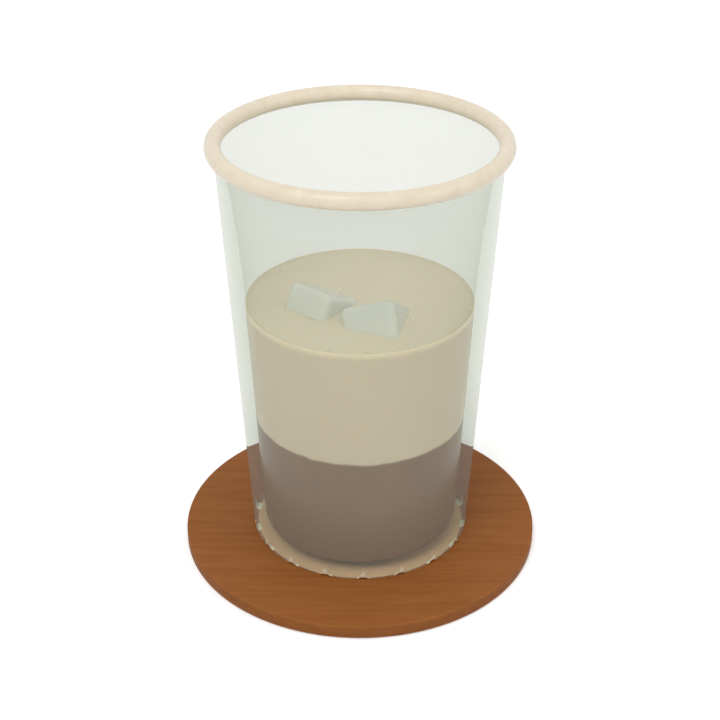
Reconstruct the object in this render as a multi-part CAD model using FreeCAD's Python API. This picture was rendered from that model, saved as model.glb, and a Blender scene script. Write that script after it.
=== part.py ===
"""A glass of iced coffee on a round coaster.

A heavy, tapered glass tumbler with an opaque bead wrapped round its lip stands on a thin wooden
coaster. It holds dark coffee below and milky coffee above, and two small blocks of ice float at
the surface. Each piece is one solid in its own STEP file.

Millimetres, +Z up. The origin is the centre of the coaster's underside, and +Z is the axis of
the coaster and the tumbler. Heights inside the tumbler are counted from the coaster's top.
"""

import FreeCAD
import Part

import math
import os

from FreeCAD import Placement, Rotation, Vector

# Coaster
COASTER_RADIUS = 50.0
COASTER_THICKNESS = 3.8
COASTER_EDGE_ROUND = 0.5

# Tumbler: the outside is one straight taper from foot to lip, and the wall is thickest beside
# the drink and thins towards the lip.
FOOT_RADIUS = 30.5
LIP_RADIUS = 37.1
LIP_HEIGHT = 115.0
BASE_THICKNESS = 3.0
WALL_AT_FLOOR = 3.7
WALL_AT_DRINK = 4.2
WALL_AT_LIP = 1.9
HEEL_ROUND = 1.2
FLOOR_CORNER_ROUND = 2.0

# Pressed notches in a ring round the heel: each is a wedge that is widest at the coaster.
NOTCH_COUNT = 18
FIRST_NOTCH_ANGLE = 11.7
NOTCH_WIDTH = 3.4
NOTCH_HEIGHT = 3.2
NOTCH_DEPTH = 0.55

# Bead round the lip: how far it reaches past the wall's inner face.
BEAD_COVER = 0.3

# Drink: the depth of each layer, and how its surface climbs the wall.
COFFEE_DEPTH = 33.6
MILKY_COFFEE_DEPTH = 33.8
MENISCUS_ROUND = 2.5
MENISCUS_RISE = 0.5

# Ice: (edge, depth of the centre below the surface, yaw, pitch, roll) of each block, in degrees.
ICE_BLOCKS = (
    (14.2, 2.8, 49.4, 0.8, 26.3),
    (15.0, 3.5, 78.2, -17.2, 34.5),
)
ICE_EDGE_ROUND = 1.8
ICE_PAIR_CENTRE = (-3.1, -8.3)
ICE_PAIR_YAW = -30.3
ICE_GAP = 0.3
ICE_GAP_TOLERANCE = 0.01

AXIS = Vector(0, 0, 1)


def at(radius, height):
    """A point of an outline: radius from the axis, and height above the coaster's top."""
    return Vector(radius, 0, COASTER_THICKNESS + height)


def line(start, end):
    return Part.LineSegment(start, end).toShape()


def arc(start, middle, end):
    return Part.Arc(start, middle, end).toShape()


def rounding(before, corner, after, radius):
    """Start, middle and end of the arc that rounds a corner between two straight runs."""
    to_before = (before - corner).normalize()
    to_after = (after - corner).normalize()
    half_angle = to_before.getAngle(to_after) / 2
    setback = radius / math.tan(half_angle)
    inwards = (to_before + to_after).normalize()
    middle = corner + inwards * (radius / math.sin(half_angle) - radius)
    return corner + to_before * setback, middle, corner + to_after * setback


def middle_of_tangent_arc(start, direction, end):
    """Middle of the arc that leaves start along direction and ends at end."""
    chord = end - start
    half_turn = direction.getAngle(chord)
    across = chord.cross(direction).cross(chord)
    sagitta = chord.Length / 2 * math.tan(half_turn / 2)
    return start + chord * 0.5 + across.normalize() * sagitta


def revolved(edges):
    """The closed solid of revolution that an outline beside the axis encloses."""
    face = Part.Face(Part.Wire(edges))
    return face.revolve(Vector(0, 0, 0), AXIS, 360)


def outer_radius(height):
    """Radius of the tumbler's outside at a height above the coaster."""
    return FOOT_RADIUS + (LIP_RADIUS - FOOT_RADIUS) * height / LIP_HEIGHT


def drink_level():
    return BASE_THICKNESS + COFFEE_DEPTH + MILKY_COFFEE_DEPTH


def inner_points():
    """The tumbler's inner wall: at the floor's corner, at the drink's level and at the lip."""
    floor = at(outer_radius(BASE_THICKNESS) - WALL_AT_FLOOR, BASE_THICKNESS)
    level = at(outer_radius(drink_level()) - WALL_AT_DRINK, drink_level())
    lip = at(LIP_RADIUS - WALL_AT_LIP, LIP_HEIGHT)
    return floor, level, lip


def inner_edges():
    """The inner wall from the lip down to the axis: a sweep, a straight taper, a round corner."""
    floor, level, lip = inner_points()
    middle = at(0, BASE_THICKNESS)
    sweep = middle_of_tangent_arc(level, level - floor, lip)
    start, bend, end = rounding(level, floor, middle, FLOOR_CORNER_ROUND)
    return [arc(lip, sweep, level), line(level, start), arc(start, bend, end), line(end, middle)]


def cavity():
    """Everything inside the tumbler, from its floor to its lip."""
    lip = inner_points()[2]
    top = at(0, LIP_HEIGHT)
    return revolved(inner_edges() + [line(at(0, BASE_THICKNESS), top), line(top, lip)])


def heel_notches():
    """The wedges that are pressed out of the heel."""
    reach = FOOT_RADIUS + HEEL_ROUND
    floor = -HEEL_ROUND
    slope = NOTCH_WIDTH / NOTCH_HEIGHT
    half_width = (NOTCH_WIDTH + HEEL_ROUND * slope) / 2
    apex = at(outer_radius(NOTCH_HEIGHT), NOTCH_HEIGHT)
    inner = at(FOOT_RADIUS - NOTCH_DEPTH, floor)
    left = at(reach, floor) + Vector(0, half_width, 0)
    right = at(reach, floor) - Vector(0, half_width, 0)
    outer = at(reach, NOTCH_HEIGHT)
    sides = (
        (inner, left, right),
        (inner, apex, left),
        (inner, right, apex),
        (apex, outer, left),
        (apex, right, outer),
        (outer, right, left),
    )
    faces = [Part.Face(Part.makePolygon([*side, side[0]])) for side in sides]
    wedge = Part.Solid(Part.Shell(faces))
    pitch = 360 / NOTCH_COUNT
    angles = [FIRST_NOTCH_ANGLE + pitch * number for number in range(NOTCH_COUNT)]
    return [wedge.rotated(Vector(0, 0, 0), AXIS, angle) for angle in angles]


def tumbler():
    foot_centre = at(0, 0)
    foot = at(FOOT_RADIUS, 0)
    outer_lip = at(LIP_RADIUS, LIP_HEIGHT)
    inner_lip = inner_points()[2]
    lip_top = at(LIP_RADIUS - WALL_AT_LIP / 2, LIP_HEIGHT + WALL_AT_LIP / 2)
    start, bend, end = rounding(foot_centre, foot, outer_lip, HEEL_ROUND)
    outside = [
        line(at(0, BASE_THICKNESS), foot_centre),
        line(foot_centre, start),
        arc(start, bend, end),
        line(end, outer_lip),
        arc(outer_lip, lip_top, inner_lip),
    ]
    return revolved(outside + inner_edges()).cut(heel_notches())


def rim_bead(glass):
    """A ring round the lip, as thick as the wall and its cover, with the wall let into it."""
    section = WALL_AT_LIP + BEAD_COVER
    ring = Part.makeTorus(LIP_RADIUS, section, at(0, LIP_HEIGHT), AXIS)
    return ring.cut(glass)


def space_above_drink():
    """All that lies above the drink's surface, which curves up to meet the wall."""
    level = drink_level()
    wall_radius = inner_points()[1].x
    below_rise = MENISCUS_ROUND - MENISCUS_RISE
    reach = math.sqrt(MENISCUS_ROUND**2 - below_rise**2)
    flat_radius = wall_radius - reach
    eighth = math.radians(45)
    bend = at(
        flat_radius + MENISCUS_ROUND * math.sin(eighth),
        level + MENISCUS_ROUND * (1 - math.cos(eighth)),
    )
    corners = [
        at(flat_radius + MENISCUS_ROUND, level + MENISCUS_ROUND),
        at(LIP_RADIUS, level + MENISCUS_ROUND),
        at(LIP_RADIUS, LIP_HEIGHT),
        at(0, LIP_HEIGHT),
        at(0, level),
        at(flat_radius, level),
    ]
    straight = [line(a, b) for a, b in zip(corners, corners[1:])]
    return revolved([arc(corners[-1], bend, corners[0])] + straight)


def disc(radius, bottom, top):
    return Part.makeCylinder(radius, top - bottom, at(0, bottom), AXIS)


def ice_block(edge, yaw, pitch, roll):
    """A block of ice with rounded edges, centred on the origin."""
    half = edge / 2
    block = Part.makeBox(edge, edge, edge, Vector(-half, -half, -half))
    block = block.makeFillet(ICE_EDGE_ROUND, block.Edges)
    turn = Rotation(AXIS, yaw) * Rotation(Vector(1, 0, 0), pitch) * Rotation(Vector(0, 1, 0), roll)
    block.Placement = Placement(Vector(0, 0, 0), turn)
    return block


def ice_pair():
    """Both blocks, as far apart along the pair's line as leaves the gap between them."""
    (edge_1, depth_1, *turns_1), (edge_2, depth_2, *turns_2) = ICE_BLOCKS
    block_1 = ice_block(edge_1, *turns_1)
    block_2 = ice_block(edge_2, *turns_2)
    along = Rotation(AXIS, ICE_PAIR_YAW).multVec(Vector(1, 0, 0))
    middle = at(0, drink_level()) + Vector(*ICE_PAIR_CENTRE, 0)
    apart = edge_1 + edge_2
    spare = apart
    while spare > ICE_GAP_TOLERANCE:
        block_1.Placement.Base = middle - along * (apart / 2) - AXIS * depth_1
        block_2.Placement.Base = middle + along * (apart / 2) - AXIS * depth_2
        spare = block_1.distToShape(block_2)[0] - ICE_GAP
        apart -= spare
    return block_1, block_2


def coaster():
    """A disc with its top and bottom edges rounded."""
    plate = Part.makeCylinder(COASTER_RADIUS, COASTER_THICKNESS)
    rims = [edge for edge in plate.Edges if len(edge.Vertexes) == 1]
    return plate.makeFillet(COASTER_EDGE_ROUND, rims)


def build():
    """Every piece by its node's name."""
    glass = tumbler()
    inside = cavity()
    boundary = BASE_THICKNESS + COFFEE_DEPTH
    ice_1, ice_2 = ice_pair()
    coffee = inside.common(disc(LIP_RADIUS, 0, boundary)).cut([ice_1, ice_2])
    milky_coffee = inside.common(disc(LIP_RADIUS, boundary, LIP_HEIGHT))
    milky_coffee = milky_coffee.cut([space_above_drink(), ice_1, ice_2])
    return {
        "coaster": coaster(),
        "tumbler": glass,
        "rim_bead": rim_bead(glass),
        "coffee_layer": coffee,
        "milky_coffee_layer": milky_coffee,
        "ice_block_1": ice_1,
        "ice_block_2": ice_2,
    }


def main():
    os.makedirs("parts", exist_ok=True)
    for name, shape in build().items():
        shape.exportStep(f"parts/{name}.step")
        print(f"{name}: {len(shape.Solids)} solid, {shape.Volume / 1000:.2f} cm3")


main()
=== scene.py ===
"""Looks of the iced coffee: a glass tumbler of layered coffee and ice on a wooden coaster.

Metres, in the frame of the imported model: +Z up, the origin at the centre of the coaster's
underside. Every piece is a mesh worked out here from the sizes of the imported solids.
"""

import math
import random

import bmesh
import bpy
from mathutils import Matrix, Vector, noise

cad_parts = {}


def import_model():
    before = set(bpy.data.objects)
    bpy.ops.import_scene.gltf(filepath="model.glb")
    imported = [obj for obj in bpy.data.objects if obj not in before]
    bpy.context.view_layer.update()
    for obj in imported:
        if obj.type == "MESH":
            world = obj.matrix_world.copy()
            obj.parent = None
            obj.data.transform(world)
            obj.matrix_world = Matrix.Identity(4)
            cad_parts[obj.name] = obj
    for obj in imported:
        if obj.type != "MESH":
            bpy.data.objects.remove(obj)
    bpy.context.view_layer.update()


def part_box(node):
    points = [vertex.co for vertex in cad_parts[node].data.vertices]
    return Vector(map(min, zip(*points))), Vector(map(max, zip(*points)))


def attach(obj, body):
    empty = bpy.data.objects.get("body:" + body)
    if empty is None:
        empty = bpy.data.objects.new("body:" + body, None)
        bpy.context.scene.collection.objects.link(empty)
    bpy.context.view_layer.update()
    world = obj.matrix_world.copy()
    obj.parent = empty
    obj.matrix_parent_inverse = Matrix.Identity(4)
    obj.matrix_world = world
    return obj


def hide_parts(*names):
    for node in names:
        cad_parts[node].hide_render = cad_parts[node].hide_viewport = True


MM = 0.001

# Coaster
COASTER_EDGE = 0.5 * MM
COASTER_SLACK = 0.02 * MM

# Tumbler: the sizes of its solid, with the notches pressed a little less deep
FOOT_RADIUS = 30.5 * MM
FOOT_LIFT = 0.04 * MM
WALL_AT_FLOOR = 3.7 * MM
WALL_AT_DRINK = 4.2 * MM
WALL_AT_LIP = 1.9 * MM
HEEL_ROUND = 1.2 * MM
FLOOR_CORNER = 2.0 * MM
NOTCH_COUNT = 18
FIRST_NOTCH_ANGLE = 11.7
NOTCH_WIDTH = 3.4 * MM
NOTCH_HEIGHT = 3.2 * MM
NOTCH_DEPTH = 0.5 * MM
NOTCH_STEEPNESS = 2.5

# Bead
BEAD_SECTION = 2.2 * MM
BEAD_SLACK = 0.03 * MM
BEAD_SWELL = 0.02
BEAD_SWELLS_ROUND = 2.0

# Drink: its sides reach a little into the wall, so that no gap shows through the glass
INTO_WALL = 0.2 * MM
MENISCUS_RISE = 0.5 * MM
MENISCUS_LENGTH = 1.4 * MM
MENISCUS_CURVE = 2.2
WISP_HEIGHT = 2.0 * MM
BOUNDARY_BLUR = 0.8 * MM
SURFACE_BLUR = 1.5 * MM

# Ice: the edge of each block, and its yaw, pitch and roll in degrees
ICE_EDGES = (14.2 * MM, 15.0 * MM)
ICE_TURNS = ((49.4, 0.8, 26.3), (78.2, -17.2, 34.5))
ICE_CUTS = 30
ICE_CORNER = 1.9 * MM
ICE_DENT = 0.022
ICE_HOLLOW = 0.02
BROAD_DENTS_PER_METRE = 170
FINE_DENTS_PER_METRE = 520
ICE_INTO_DRINK = 0.15 * MM

# Bubbles: clusters along the wall, in degrees, and sizes and strays, in millimetres
BUBBLE_SEED = 7
BUBBLES_AT_WALL = 56
BUBBLES_AT_ICE = 16
BUBBLE_CLUSTERS = (-150, -100, -62, -20, 35, 110, 160)
CLUSTER_SPREAD = 16
BUBBLE_SIZES = (0.18, 0.22, 0.28, 0.36, 0.5)
SIZE_VARIATION = (0.8, 1.2)
OFF_WALL = 0.7
STRAY_OFF_WALL = 0.9
STRAY_ROUND_ICE = (-1.5, 1.2)
BUBBLE_LOWEST_ANGLE = -20
BUBBLE_ROWS = 5
BUBBLE_COLUMNS = 12

# Meshes
SEGMENTS = 360
GLASS_SEGMENTS = 720
SHARP_ANGLE = 50

# Colours of the drink, from 0 to 255
DARK = (110, 82, 50)
LIGHT = (191, 178, 153)
# The top's colour is painted light: a lighter, lit copy of the milky coffee below it.
PAINTED_LIT_TOP = (217, 204, 173)
VEIN = (150, 130, 104)

# Glass and ice
GLASS_IOR = 1.002
ICE_IOR = 1.31

# Studio
WORLD_STRENGTH = 0.74
FLOOR_HALF_SIDE = 4.0
FLOOR_DROP = 0.2 * MM
FLOOR_GLOW = 0.3
LAMP_TARGET = (0, 0, 0.06)
LAMP_SIZE = (0.5, 0.8)
KEY_PLACE, KEY_POWER = (-0.35, -0.65, 1.25), 6.4
FILL_PLACE, FILL_POWER = (1.0, -0.5, 0.8), 1.9

# Camera
CAMERA_DISTANCE = 344.262 * MM
CAMERA_HEIGHT = 249.07 * MM
CAMERA_DOWN = 29.807
CAMERA_LENS = 72.61
SENSOR = 36.0

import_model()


# --- Places and sizes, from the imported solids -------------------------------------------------

coaster_low, coaster_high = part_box("coaster")
COASTER_RADIUS = coaster_high.x
COASTER_BOTTOM = coaster_low.z
COASTER_TOP = coaster_high.z
bead_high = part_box("rim_bead")[1]
LIP_RADIUS = bead_high.x - BEAD_SECTION
LIP_Z = bead_high.z - BEAD_SECTION
coffee_low, coffee_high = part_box("coffee_layer")
FLOOR_Z = coffee_low.z
BOUNDARY_Z = coffee_high.z
LEVEL_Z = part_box("milky_coffee_layer")[1].z - MENISCUS_RISE
FOOT_Z = COASTER_TOP


def outer_radius(z):
    """Radius of the tumbler's outside, which is one straight taper."""
    share = (z - FOOT_Z) / (LIP_Z - FOOT_Z)
    return FOOT_RADIUS + (LIP_RADIUS - FOOT_RADIUS) * share


FLOOR_RADIUS = outer_radius(FLOOR_Z) - WALL_AT_FLOOR
LEVEL_RADIUS = outer_radius(LEVEL_Z) - WALL_AT_DRINK


def inner_radius(z):
    """Radius of the tumbler's inner wall: a straight taper, then an arc out to the lip."""
    slope = (LEVEL_RADIUS - FLOOR_RADIUS) / (LEVEL_Z - FLOOR_Z)
    if z <= LEVEL_Z:
        return FLOOR_RADIUS + slope * (z - FLOOR_Z)
    direction = Vector((slope, 1)).normalized()
    chord = Vector((LIP_RADIUS - WALL_AT_LIP - LEVEL_RADIUS, LIP_Z - LEVEL_Z))
    turn = abs(direction.angle(chord))
    sweep = chord.length / (2 * math.sin(turn))
    centre = Vector((LEVEL_RADIUS, LEVEL_Z)) + Vector((direction.y, -direction.x)) * sweep
    return centre.x - math.sqrt(sweep**2 - (z - centre.y) ** 2)


# --- Making meshes ----------------------------------------------------------------------------


def make_object(name, vertices, faces, smooth=True):
    mesh = bpy.data.meshes.new(name)
    mesh.from_pydata(vertices, [], faces)
    mesh.validate()
    mesh.update()
    if smooth:
        mesh.polygons.foreach_set("use_smooth", [True] * len(mesh.polygons))
        mesh.set_sharp_from_angle(angle=math.radians(SHARP_ANGLE))
    obj = bpy.data.objects.new(name, mesh)
    bpy.context.scene.collection.objects.link(obj)
    return obj


def lathe(name, outline, segments=SEGMENTS, shift=None, loop=False):
    """Turns an outline of (radius, z) points round the axis; a radius of 0 is a pole."""
    vertices, faces, rings = [], [], []
    for radius, z in outline:
        start = len(vertices)
        count = segments if radius > 0 else 1
        rings.append((start, count))
        for k in range(count):
            angle = 2 * math.pi * k / segments
            r, height = shift(radius, z, angle) if shift else (radius, z)
            vertices.append((r * math.cos(angle), r * math.sin(angle), height))
    pairs = list(zip(rings, rings[1:]))
    if loop:
        pairs.append((rings[-1], rings[0]))
    for (a, count_a), (b, count_b) in pairs:
        for k in range(segments):
            n = (k + 1) % segments
            if count_a == 1:
                faces.append((a, b + n, b + k))
            elif count_b == 1:
                faces.append((a + k, a + n, b))
            else:
                faces.append((a + k, a + n, b + n, b + k))
    return make_object(name, vertices, faces)


def spaced(start, end, count):
    """Evenly spaced numbers, without the last."""
    return [start + (end - start) * k / count for k in range(count)]


def flat(start, end, count, z):
    """Points of a level stretch of an outline, without the last."""
    return [(r, z) for r in spaced(start, end, count)]


def circle(radius, z, size, angles):
    """Points of an outline on a circle about (radius, z)."""
    return [(radius + size * math.cos(a), z + size * math.sin(a)) for a in angles]


def rounded_corner(before, corner, after, radius, count=8):
    """Points of the arc that rounds a corner of an outline."""
    before, corner, after = Vector(before), Vector(corner), Vector(after)
    to_before, to_after = (before - corner).normalized(), (after - corner).normalized()
    half = to_before.angle(to_after) / 2
    start = corner + to_before * radius / math.tan(half)
    end = corner + to_after * radius / math.tan(half)
    centre = corner + (to_before + to_after).normalized() * radius / math.sin(half)
    first, last = start - centre, end - centre
    turn = first.angle_signed(last)
    points = []
    for k in range(count + 1):
        angle = -turn * k / count
        x = first.x * math.cos(angle) - first.y * math.sin(angle)
        y = first.x * math.sin(angle) + first.y * math.cos(angle)
        points.append((centre.x + x, centre.y + y))
    return points


def finish_piece(obj, slot, *nodes):
    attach(obj, "root")
    if nodes:
        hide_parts(*nodes)


# --- Materials --------------------------------------------------------------------------------


def linear(rgb):
    """A colour of 0 to 255 as linear light, with an alpha of 1."""
    out = []
    for value in rgb:
        c = value / 255
        out.append(c / 12.92 if c <= 0.04045 else ((c + 0.055) / 1.055) ** 2.4)
    return (*out, 1.0)


class Nodes:
    """A material's node tree, with short ways to add and join nodes."""

    def __init__(self, name):
        self.material = bpy.data.materials.new(name)
        self.material.use_nodes = True
        self.tree = self.material.node_tree
        self.shader = self.tree.nodes["Principled BSDF"]
        self.output = self.tree.nodes["Material Output"]

    def add(self, kind, **settings):
        node = self.tree.nodes.new(kind)
        for key, value in settings.items():
            setattr(node, key, value)
        return node

    def link(self, source, target):
        self.tree.links.new(source, target)

    def set(self, **values):
        for key, value in values.items():
            self.shader.inputs[key.replace("_", " ")].default_value = value

    def coords(self, scale=(1, 1, 1)):
        mapping = self.add("ShaderNodeMapping")
        mapping.inputs["Scale"].default_value = scale
        self.link(self.add("ShaderNodeTexCoord").outputs["Object"], mapping.inputs["Vector"])
        return mapping.outputs["Vector"]

    def noise(self, scale, detail=3.0, roughness=0.5, vector=None, distortion=0.0):
        node = self.add("ShaderNodeTexNoise")
        node.inputs["Scale"].default_value = scale
        node.inputs["Detail"].default_value = detail
        node.inputs["Roughness"].default_value = roughness
        node.inputs["Distortion"].default_value = distortion
        self.link(vector or self.coords(), node.inputs["Vector"])
        return node.outputs["Fac"]

    def ramp(self, fac, *stops):
        node = self.add("ShaderNodeValToRGB")
        elements = node.color_ramp.elements
        while len(elements) < len(stops):
            elements.new(0.5)
        for element, (place, colour) in zip(elements, stops):
            element.position = place
            element.color = colour
        self.link(fac, node.inputs["Fac"])
        return node.outputs["Color"]

    def math(self, operation, a, b=0, clamp=False):
        node = self.add("ShaderNodeMath", operation=operation, use_clamp=clamp)
        for socket, value in zip(node.inputs, (a, b)):
            if isinstance(value, (int, float)):
                socket.default_value = value
            else:
                self.link(value, socket)
        return node.outputs[0]

    def rise(self, value, start, length):
        """0 up to a start, 1 a length past it, and even in between."""
        return self.math("DIVIDE", self.math("SUBTRACT", value, start), length, clamp=True)

    def mix(self, fac, a, b, blend="MIX"):
        node = self.add("ShaderNodeMix", data_type="RGBA", blend_type=blend)
        for key, value in ((0, fac), (6, a), (7, b)):
            if hasattr(value, "is_linked"):
                self.link(value, node.inputs[key])
            else:
                node.inputs[key].default_value = value
        return node.outputs[2]

    def bump(self, height, strength, distance):
        node = self.add("ShaderNodeBump")
        node.inputs["Strength"].default_value = strength
        node.inputs["Distance"].default_value = distance
        self.link(height, node.inputs["Height"])
        self.link(node.outputs["Normal"], self.shader.inputs["Normal"])

    def let_lamps_through(self, tint):
        """Glass passes the light of the lamps, so what it holds isn't in its shadow."""
        mix = self.add("ShaderNodeMixShader")
        clear = self.add("ShaderNodeBsdfTransparent")
        clear.inputs["Color"].default_value = tint
        self.link(self.add("ShaderNodeLightPath").outputs["Is Shadow Ray"], mix.inputs[0])
        self.link(self.shader.outputs[0], mix.inputs[1])
        self.link(clear.outputs[0], mix.inputs[2])
        self.link(mix.outputs[0], self.output.inputs["Surface"])


def glass_material():
    """Clear glass that hardly bends light, so the photo's clear band beside the drink stays."""
    m = Nodes("clear_glass")
    m.set(
        Base_Color=(0.805, 0.817, 0.785, 1),
        Roughness=0.0,
        Transmission_Weight=0.885,
        IOR=GLASS_IOR,
    )
    m.let_lamps_through((0.95, 0.96, 0.94, 1))
    volume = m.add("ShaderNodeVolumeAbsorption")
    volume.inputs["Color"].default_value = (0.76, 0.80, 0.73, 1)
    volume.inputs["Density"].default_value = 34.0
    m.link(volume.outputs[0], m.output.inputs["Volume"])
    return m.material


def ground_glass_material(name, colour, transmission):
    """Glass that is ground or pressed matt, in a given colour; for the notches and the foot that
    colour carries painted light.
    """
    m = Nodes(name)
    m.set(Base_Color=colour, Roughness=0.45, Transmission_Weight=transmission, IOR=GLASS_IOR)
    m.bump(m.noise(1500, 3), strength=0.2, distance=0.1 * MM)
    return m.material


def bead_material():
    m = Nodes("cream_bead")
    mottle = m.noise(260, 4, 0.6)
    colour = m.ramp(mottle, (0.3, linear((219, 206, 183))), (0.7, linear((227, 215, 193))))
    m.link(colour, m.shader.inputs["Base Color"])
    m.set(Roughness=0.4, Specular_IOR_Level=0.35, Coat_Weight=0.2, Coat_Roughness=0.12)
    m.bump(m.noise(900, 3), strength=0.08, distance=0.2 * MM)
    return m.material


def drink_material():
    """Dark below the boundary and light above it, with wisps where they meet and faint clouds, and
    the top painted lighter as painted light.
    """
    m = Nodes("drink")
    split = m.add("ShaderNodeSeparateXYZ")
    m.link(m.coords(), split.inputs[0])
    height = split.outputs["Z"]
    wisps = m.noise(110, 5, 0.6, m.coords((1, 1, 0.45)), distortion=0.6)
    wisp = m.math("MULTIPLY", m.math("SUBTRACT", wisps, 0.5), WISP_HEIGHT)
    upper = m.rise(m.math("ADD", height, wisp), BOUNDARY_Z - BOUNDARY_BLUR / 2, BOUNDARY_BLUR)
    body = m.ramp(upper, (0.0, linear(DARK)), (1.0, linear(LIGHT)))
    # Painted light: the top of the drink is blended to a lighter, lit colour.
    top = m.rise(height, LEVEL_Z - SURFACE_BLUR, SURFACE_BLUR)
    body = m.mix(top, body, linear(PAINTED_LIT_TOP))
    clouds = m.noise(45, 5, 0.55, distortion=0.8)
    body = m.mix(m.math("MULTIPLY", clouds, 0.1), body, linear(VEIN))
    m.link(body, m.shader.inputs["Base Color"])
    m.set(Roughness=0.25, Specular_IOR_Level=0.3, Subsurface_Weight=0.2, Subsurface_Scale=MM)
    m.set(Subsurface_Radius=(1.0, 0.7, 0.45))
    return m.material


def ice_material():
    m = Nodes("ice")
    m.set(
        Base_Color=linear((240, 244, 231)),
        Roughness=0.05,
        Transmission_Weight=0.36,
        IOR=ICE_IOR,
    )
    m.bump(m.noise(260, 4, 0.6), strength=0.2, distance=0.5 * MM)
    m.let_lamps_through((0.88, 0.9, 0.87, 1))
    return m.material


def bubble_material():
    m = Nodes("bubble")
    m.set(Base_Color=linear((226, 218, 194)), Roughness=0.15, Specular_IOR_Level=0.5)
    return m.material


def wood_material():
    """Brown wood with its grain along X, with painted shade that darkens the plate's edge where it
    turns away.
    """
    m = Nodes("coaster_wood")
    fibres = m.noise(38, 6, 0.62, m.coords((1.0, 16.0, 16.0)), distortion=0.25)
    colour = m.ramp(
        fibres,
        (0.25, linear((136, 80, 37))),
        (0.5, linear((147, 90, 44))),
        (0.75, linear((155, 97, 50))),
    )
    # Painted shade: the plate's side is darkened the further its normal turns from upright.
    facing = m.add("ShaderNodeSeparateXYZ")
    m.link(m.add("ShaderNodeNewGeometry").outputs["Normal"], facing.inputs[0])
    edge = m.math("SUBTRACT", 1.0, m.math("ABSOLUTE", facing.outputs["Z"]), clamp=True)
    colour = m.mix(edge, colour, (0.84, 0.82, 0.78, 1), "MULTIPLY")
    m.link(colour, m.shader.inputs["Base Color"])
    m.set(Roughness=0.6, Specular_IOR_Level=0.12)
    m.bump(fibres, strength=0.15, distance=0.3 * MM)
    return m.material


# --- Coaster, tumbler and bead ----------------------------------------------------------------


def coaster():
    radius = COASTER_RADIUS - COASTER_SLACK
    flat_radius = radius - 2 * COASTER_EDGE
    low, high = (radius, COASTER_BOTTOM), (radius, COASTER_TOP)
    outline = [(0, COASTER_BOTTOM)]
    outline += flat(radius / 8, flat_radius, 10, COASTER_BOTTOM)
    outline += rounded_corner((0, COASTER_BOTTOM), low, high, COASTER_EDGE, 5)
    outline += rounded_corner(low, high, (0, COASTER_TOP), COASTER_EDGE, 5)
    outline += flat(flat_radius, radius / 8, 10, COASTER_TOP)
    outline += [(0, COASTER_TOP)]
    obj = lathe("coaster_plate", outline)
    obj.data.materials.append(wood_material())
    finish_piece(obj, "coaster_wood", "coaster")


def notch_share(z, angle, radius):
    """How far inside a notch of the heel a place is: 0 at its sides and tip, 1 in its middle."""
    height = z - FOOT_Z
    if height > NOTCH_HEIGHT:
        return 0.0
    pitch = 2 * math.pi / NOTCH_COUNT
    off = (angle - math.radians(FIRST_NOTCH_ANGLE) + pitch / 2) % pitch - pitch / 2
    half = NOTCH_WIDTH / 2 * (1 - height / NOTCH_HEIGHT)
    return max(0.0, 1 - abs(off * radius) / max(half, 1e-9))


def on_outside(radius, z):
    return radius > inner_radius(z) + WALL_AT_FLOOR / 2


def pressed_in(radius, z, angle):
    """A place of the tumbler's outline, moved inwards where it is in a notch of the heel."""
    at_heel = radius > FOOT_RADIUS - HEEL_ROUND - NOTCH_DEPTH and z < FOOT_Z + NOTCH_HEIGHT
    if not at_heel or not on_outside(radius, z):
        return radius, z
    share = min(1.0, notch_share(z, angle, radius) * NOTCH_STEEPNESS)
    depth = NOTCH_DEPTH * share * (1 - (z - FOOT_Z) / NOTCH_HEIGHT)
    return radius - depth, z


def tumbler_outline(foot_z):
    """From the middle of the foot up the outside, over the lip and down to the floor's middle."""
    foot, lip = (FOOT_RADIUS, foot_z), (LIP_RADIUS, LIP_Z)
    heel = rounded_corner((0, foot_z), foot, lip, HEEL_ROUND)
    above_heel = heel[-1][1]
    above_notch = above_heel + NOTCH_HEIGHT
    outline = [(0, foot_z)] + flat(5 * MM, 28 * MM, 5, foot_z) + heel
    outline += [(outer_radius(z), z) for z in spaced(above_heel, above_notch, 10)[1:]]
    outline += [(outer_radius(z), z) for z in spaced(above_notch, LIP_Z, 24)]
    outline += circle(LIP_RADIUS - WALL_AT_LIP / 2, LIP_Z, WALL_AT_LIP / 2, spaced(0, math.pi, 10))
    outline += [(inner_radius(z), z) for z in spaced(LIP_Z, FLOOR_Z + FLOOR_CORNER * 1.5, 34)]
    level, corner = (inner_radius(LEVEL_Z), LEVEL_Z), (FLOOR_RADIUS, FLOOR_Z)
    outline += rounded_corner(level, corner, (0, FLOOR_Z), FLOOR_CORNER)
    outline += flat(FLOOR_RADIUS - 4 * MM, 3 * MM, 5, FLOOR_Z)
    return outline + [(0, FLOOR_Z)]


def tumbler():
    foot_z = FOOT_Z + FOOT_LIFT
    obj = lathe("tumbler_glass", tumbler_outline(foot_z), GLASS_SEGMENTS, pressed_in)
    materials = obj.data.materials
    materials.append(glass_material())
    # The notches are pressed matt glass; their pale colour is partly that frosting and partly
    # painted glints at the heel.
    materials.append(ground_glass_material("pressed_notches_painted_glints", (0.86, 0.82, 0.64, 1), 0.05))
    # The foot is ground glass; its brown is painted light, the lit coaster's colour laid on the
    # foot over the shade under the glass.
    materials.append(ground_glass_material("ground_foot_painted_light", (0.86, 0.60, 0.345, 1), 0.42))
    for face in obj.data.polygons:
        x, y, z = face.center
        radius = math.hypot(x, y)
        if on_outside(radius, z) and notch_share(z, math.atan2(y, x), radius):
            face.material_index = 1
        elif z < foot_z + 0.01 * MM:
            face.material_index = 2
    finish_piece(obj, "clear_glass", "tumbler")


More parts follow.
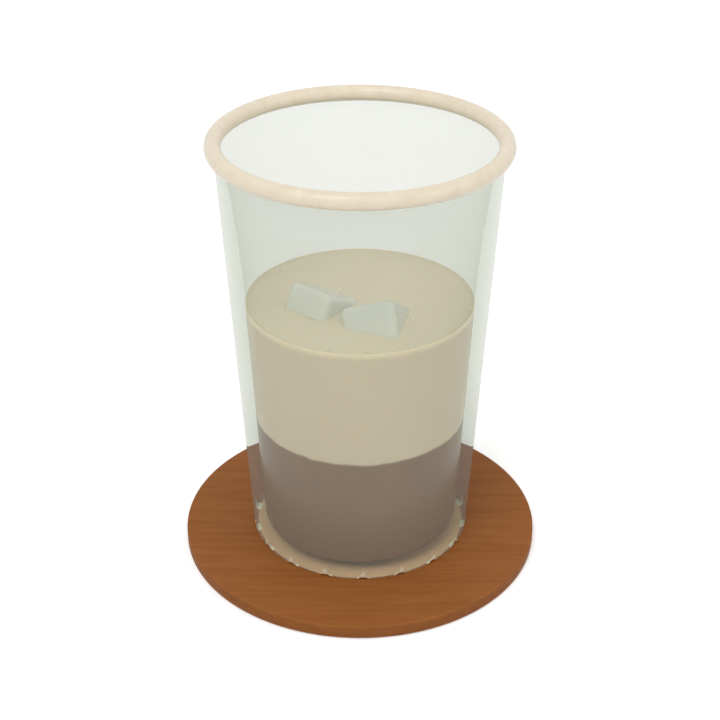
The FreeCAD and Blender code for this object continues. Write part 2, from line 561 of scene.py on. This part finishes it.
def swollen(radius, z, angle):
    """A place of the bead's section, which is a little thinner here and there round the lip."""
    place = Vector((math.cos(angle), math.sin(angle), 0)) * BEAD_SWELLS_ROUND
    swell = min(1.0, 1 + BEAD_SWELL * noise.noise(place))
    return LIP_RADIUS + (radius - LIP_RADIUS) * swell, LIP_Z + (z - LIP_Z) * swell


def rim_bead():
    section = circle(LIP_RADIUS, LIP_Z, BEAD_SECTION - BEAD_SLACK, spaced(0, 2 * math.pi, 40))
    obj = lathe("lip_bead", section, SEGMENTS, swollen, loop=True)
    obj.data.materials.append(bead_material())
    finish_piece(obj, "cream_bead", "rim_bead")


# --- Drink, ice and bubbles -------------------------------------------------------------------


def drink_wall(z):
    return inner_radius(z) + INTO_WALL


def surface_height(radius):
    """Height of the drink's surface, which climbs the wall."""
    start = LEVEL_RADIUS - MENISCUS_LENGTH
    share = max(0.0, (radius - start) / MENISCUS_LENGTH)
    return LEVEL_Z + MENISCUS_RISE * min(1.0, share) ** MENISCUS_CURVE


def coffee(material):
    bottom = FLOOR_Z - INTO_WALL
    corner, top = (drink_wall(bottom), bottom), (drink_wall(BOUNDARY_Z), BOUNDARY_Z)
    outline = [(0, bottom)] + flat(5 * MM, 22 * MM, 4, bottom)
    outline += rounded_corner((0, bottom), corner, top, FLOOR_CORNER)
    above_corner = outline[-1][1]
    outline += [(drink_wall(z), z) for z in spaced(above_corner, BOUNDARY_Z, 16)[1:]] + [top]
    outline += flat(24 * MM, 4 * MM, 5, BOUNDARY_Z) + [(0, BOUNDARY_Z)]
    obj = lathe("coffee_body", outline)
    obj.data.materials.append(material)
    finish_piece(obj, "coffee", "coffee_layer")


def milky_coffee(material):
    top_z = LEVEL_Z + MENISCUS_RISE
    flat_radius = LEVEL_RADIUS - MENISCUS_LENGTH
    outline = [(0, BOUNDARY_Z)] + flat(4 * MM, 24 * MM, 5, BOUNDARY_Z)
    outline += [(drink_wall(z), z) for z in spaced(BOUNDARY_Z, top_z, 20)]
    outline += [(drink_wall(top_z), top_z)]
    outline += [(r, surface_height(r)) for r in spaced(LEVEL_RADIUS, flat_radius, 9)]
    outline += flat(flat_radius, 1 * MM, 24, LEVEL_Z) + [(0, LEVEL_Z)]
    obj = lathe("milky_coffee_body", outline)
    obj.data.materials.append(material)
    for number in range(len(ICE_EDGES)):
        cut_pocket(obj, ice_mesh(number, ICE_INTO_DRINK))
    finish_piece(obj, "milky_coffee", "milky_coffee_layer")


def cut_pocket(obj, cutter):
    """Cuts a mesh object out of a piece and deletes it."""
    cut = obj.modifiers.new("pocket", "BOOLEAN")
    cut.operation = "DIFFERENCE"
    cut.solver = "EXACT"
    cut.object = cutter
    bpy.context.view_layer.objects.active = obj
    bpy.ops.object.modifier_apply(modifier=cut.name)
    bpy.data.meshes.remove(cutter.data)


def melted(place, edge, seed):
    """Where a point of a unit cube lies on a block with rounded edges, dents and hollow faces."""
    core_half = edge / 2 - ICE_CORNER
    p = place * edge
    core = Vector([max(-core_half, min(core_half, c)) for c in p])
    off = p - core
    if off.length > 1e-9:
        p = core + off.normalized() * ICE_CORNER
    broad = noise.noise(p * BROAD_DENTS_PER_METRE + seed)
    fine = noise.noise(p * FINE_DENTS_PER_METRE + seed)
    dent = max(0.0, 0.5 + 0.5 * broad + 0.3 * fine)
    middle = 1 - min(1.0, sorted(abs(c) for c in p)[1] / (edge / 2)) ** 2
    return p * (1 - ICE_DENT * dent - ICE_HOLLOW * middle)


def ice_mesh(number, inset=0.0):
    """A melted block in its place."""
    edge = ICE_EDGES[number] - 2 * inset
    seed = Vector((number * 9.0, 3.0, 1.0))
    low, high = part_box(f"ice_block_{number + 1}")
    yaw, pitch, roll = (math.radians(t) for t in ICE_TURNS[number])
    turn = Matrix.Rotation(yaw, 3, "Z") @ Matrix.Rotation(pitch, 3, "X")
    turn = turn @ Matrix.Rotation(roll, 3, "Y")
    block = bmesh.new()
    bmesh.ops.create_cube(block, size=1.0)
    bmesh.ops.subdivide_edges(block, edges=block.edges[:], cuts=ICE_CUTS, use_grid_fill=True)
    for v in block.verts:
        v.co = turn @ melted(v.co, edge, seed) + (low + high) / 2
    mesh = bpy.data.meshes.new(f"ice_{number + 1}")
    block.to_mesh(mesh)
    block.free()
    mesh.polygons.foreach_set("use_smooth", [True] * len(mesh.polygons))
    obj = bpy.data.objects.new(mesh.name, mesh)
    bpy.context.scene.collection.objects.link(obj)
    return obj


def ice_block(number, material):
    obj = ice_mesh(number)
    obj.data.materials.append(material)
    finish_piece(obj, "ice", f"ice_block_{number + 1}")


def bubble_places(draw):
    """Places on the surface, first in clusters at the wall and then beside each block of ice."""
    places = []
    for _ in range(BUBBLES_AT_WALL):
        cluster = draw.choice(BUBBLE_CLUSTERS)
        angle = math.radians(draw.gauss(cluster, CLUSTER_SPREAD))
        radius = LEVEL_RADIUS - abs(draw.gauss(0, STRAY_OFF_WALL)) * MM - OFF_WALL * MM
        places.append((radius * math.cos(angle), radius * math.sin(angle)))
    for number in range(len(ICE_EDGES)):
        low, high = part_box(f"ice_block_{number + 1}")
        middle = (low + high) / 2
        for _ in range(BUBBLES_AT_ICE):
            angle = draw.uniform(0, 2 * math.pi)
            reach = (high.x - low.x) / 2 + draw.uniform(*STRAY_ROUND_ICE) * MM
            places.append((middle.x + reach * math.cos(angle), middle.y + reach * math.sin(angle)))
    return places


def add_bubble(vertices, faces, centre, size):
    """Adds a ball that is cut off a little below its centre."""
    x, y, z = centre
    start = len(vertices)
    for row in range(BUBBLE_ROWS):
        tilt = math.radians(BUBBLE_LOWEST_ANGLE + (90 - BUBBLE_LOWEST_ANGLE) * row / BUBBLE_ROWS)
        for column in range(BUBBLE_COLUMNS):
            turn = 2 * math.pi * column / BUBBLE_COLUMNS
            vertices.append(
                (
                    x + size * math.cos(tilt) * math.cos(turn),
                    y + size * math.cos(tilt) * math.sin(turn),
                    z + size * math.sin(tilt),
                )
            )
    top = len(vertices)
    vertices.append((x, y, z + size))
    last = top - BUBBLE_COLUMNS
    for a in range(start, last, BUBBLE_COLUMNS):
        b = a + BUBBLE_COLUMNS
        for column in range(BUBBLE_COLUMNS):
            following = (column + 1) % BUBBLE_COLUMNS
            faces.append((a + column, a + following, b + following, b + column))
    for column in range(BUBBLE_COLUMNS):
        faces.append((last + column, last + (column + 1) % BUBBLE_COLUMNS, top))
    faces.append(tuple(reversed(range(start, start + BUBBLE_COLUMNS))))


def bubbles():
    """Small bubbles at the edge of the surface and beside the ice, as one mesh."""
    draw = random.Random(BUBBLE_SEED)
    vertices, faces = [], []
    for x, y in bubble_places(draw):
        size = draw.choice(BUBBLE_SIZES) * MM * draw.uniform(*SIZE_VARIATION)
        add_bubble(vertices, faces, (x, y, surface_height(math.hypot(x, y))), size)
    obj = make_object("bubbles", vertices, faces)
    obj.data.materials.append(bubble_material())
    finish_piece(obj, "milky_coffee")


# --- Studio -----------------------------------------------------------------------------------


def floor_glow(m):
    """Extra light for the rays that show the floor: the camera's, those off gloss and, at half
    strength, those through glass."""
    path = m.add("ShaderNodeLightPath")
    seen = m.math("MAXIMUM", path.outputs["Is Camera Ray"], path.outputs["Is Glossy Ray"])
    seen = m.math("MAXIMUM", seen, m.math("MULTIPLY", path.outputs["Is Transmission Ray"], 0.5))
    return m.math("MULTIPLY", seen, FLOOR_GLOW)


def floor():
    side = FLOOR_HALF_SIDE
    corners = [(-side, -side, 0), (side, -side, 0), (side, side, 0), (-side, side, 0)]
    obj = make_object("floor", corners, [(0, 1, 2, 3)], smooth=False)
    obj.location.z = -FLOOR_DROP
    m = Nodes("floor")
    m.set(Base_Color=(0.9, 0.9, 0.9, 1), Roughness=1.0, Specular_IOR_Level=0.0)
    m.set(Emission_Color=(1, 1, 1, 1))
    m.link(floor_glow(m), m.shader.inputs["Emission Strength"])
    obj.data.materials.append(m.material)


def world():
    """An even light, and plain white for the rays that show the background."""
    w = bpy.data.worlds.new("studio")
    bpy.context.scene.world = w
    w.use_nodes = True
    nodes, links = w.node_tree.nodes, w.node_tree.links
    light = nodes["Background"]
    white = nodes.new("ShaderNodeBackground")
    for background, strength in ((light, WORLD_STRENGTH), (white, 1.0)):
        background.inputs["Color"].default_value = (1, 1, 1, 1)
        background.inputs["Strength"].default_value = strength
    path = nodes.new("ShaderNodeLightPath")
    mixed = light
    for ray in ("Is Camera Ray", "Is Glossy Ray", "Is Transmission Ray"):
        mix = nodes.new("ShaderNodeMixShader")
        links.new(path.outputs[ray], mix.inputs[0])
        links.new(mixed.outputs[0], mix.inputs[1])
        links.new(white.outputs[0], mix.inputs[2])
        mixed = mix
    links.new(mixed.outputs[0], nodes["World Output"].inputs["Surface"])


def lamp(name, place, power):
    data = bpy.data.lights.new(name, "AREA")
    data.shape = "RECTANGLE"
    data.size, data.size_y = LAMP_SIZE
    data.energy = power
    obj = bpy.data.objects.new(name, data)
    obj.location = place
    direction = Vector(LAMP_TARGET) - Vector(place)
    obj.rotation_euler = direction.to_track_quat("-Z", "Y").to_euler()
    bpy.context.scene.collection.objects.link(obj)


def camera():
    data = bpy.data.cameras.new("camera")
    data.lens = CAMERA_LENS
    data.sensor_width = SENSOR
    obj = bpy.data.objects.new("camera", data)
    obj.location = (0, -CAMERA_DISTANCE, COASTER_TOP + CAMERA_HEIGHT)
    obj.rotation_euler = (math.radians(90 - CAMERA_DOWN), 0, 0)
    bpy.context.scene.collection.objects.link(obj)
    bpy.context.scene.camera = obj


coaster()
tumbler()
rim_bead()
drink = drink_material()
ice_look = ice_material()
coffee(drink)
milky_coffee(drink)
for block_number in range(len(ICE_EDGES)):
    ice_block(block_number, ice_look)
bubbles()
floor()
world()
lamp("key", KEY_PLACE, KEY_POWER)
lamp("fill", FILL_PLACE, FILL_POWER)
camera()
bpy.context.scene.view_settings.view_transform = "Standard"
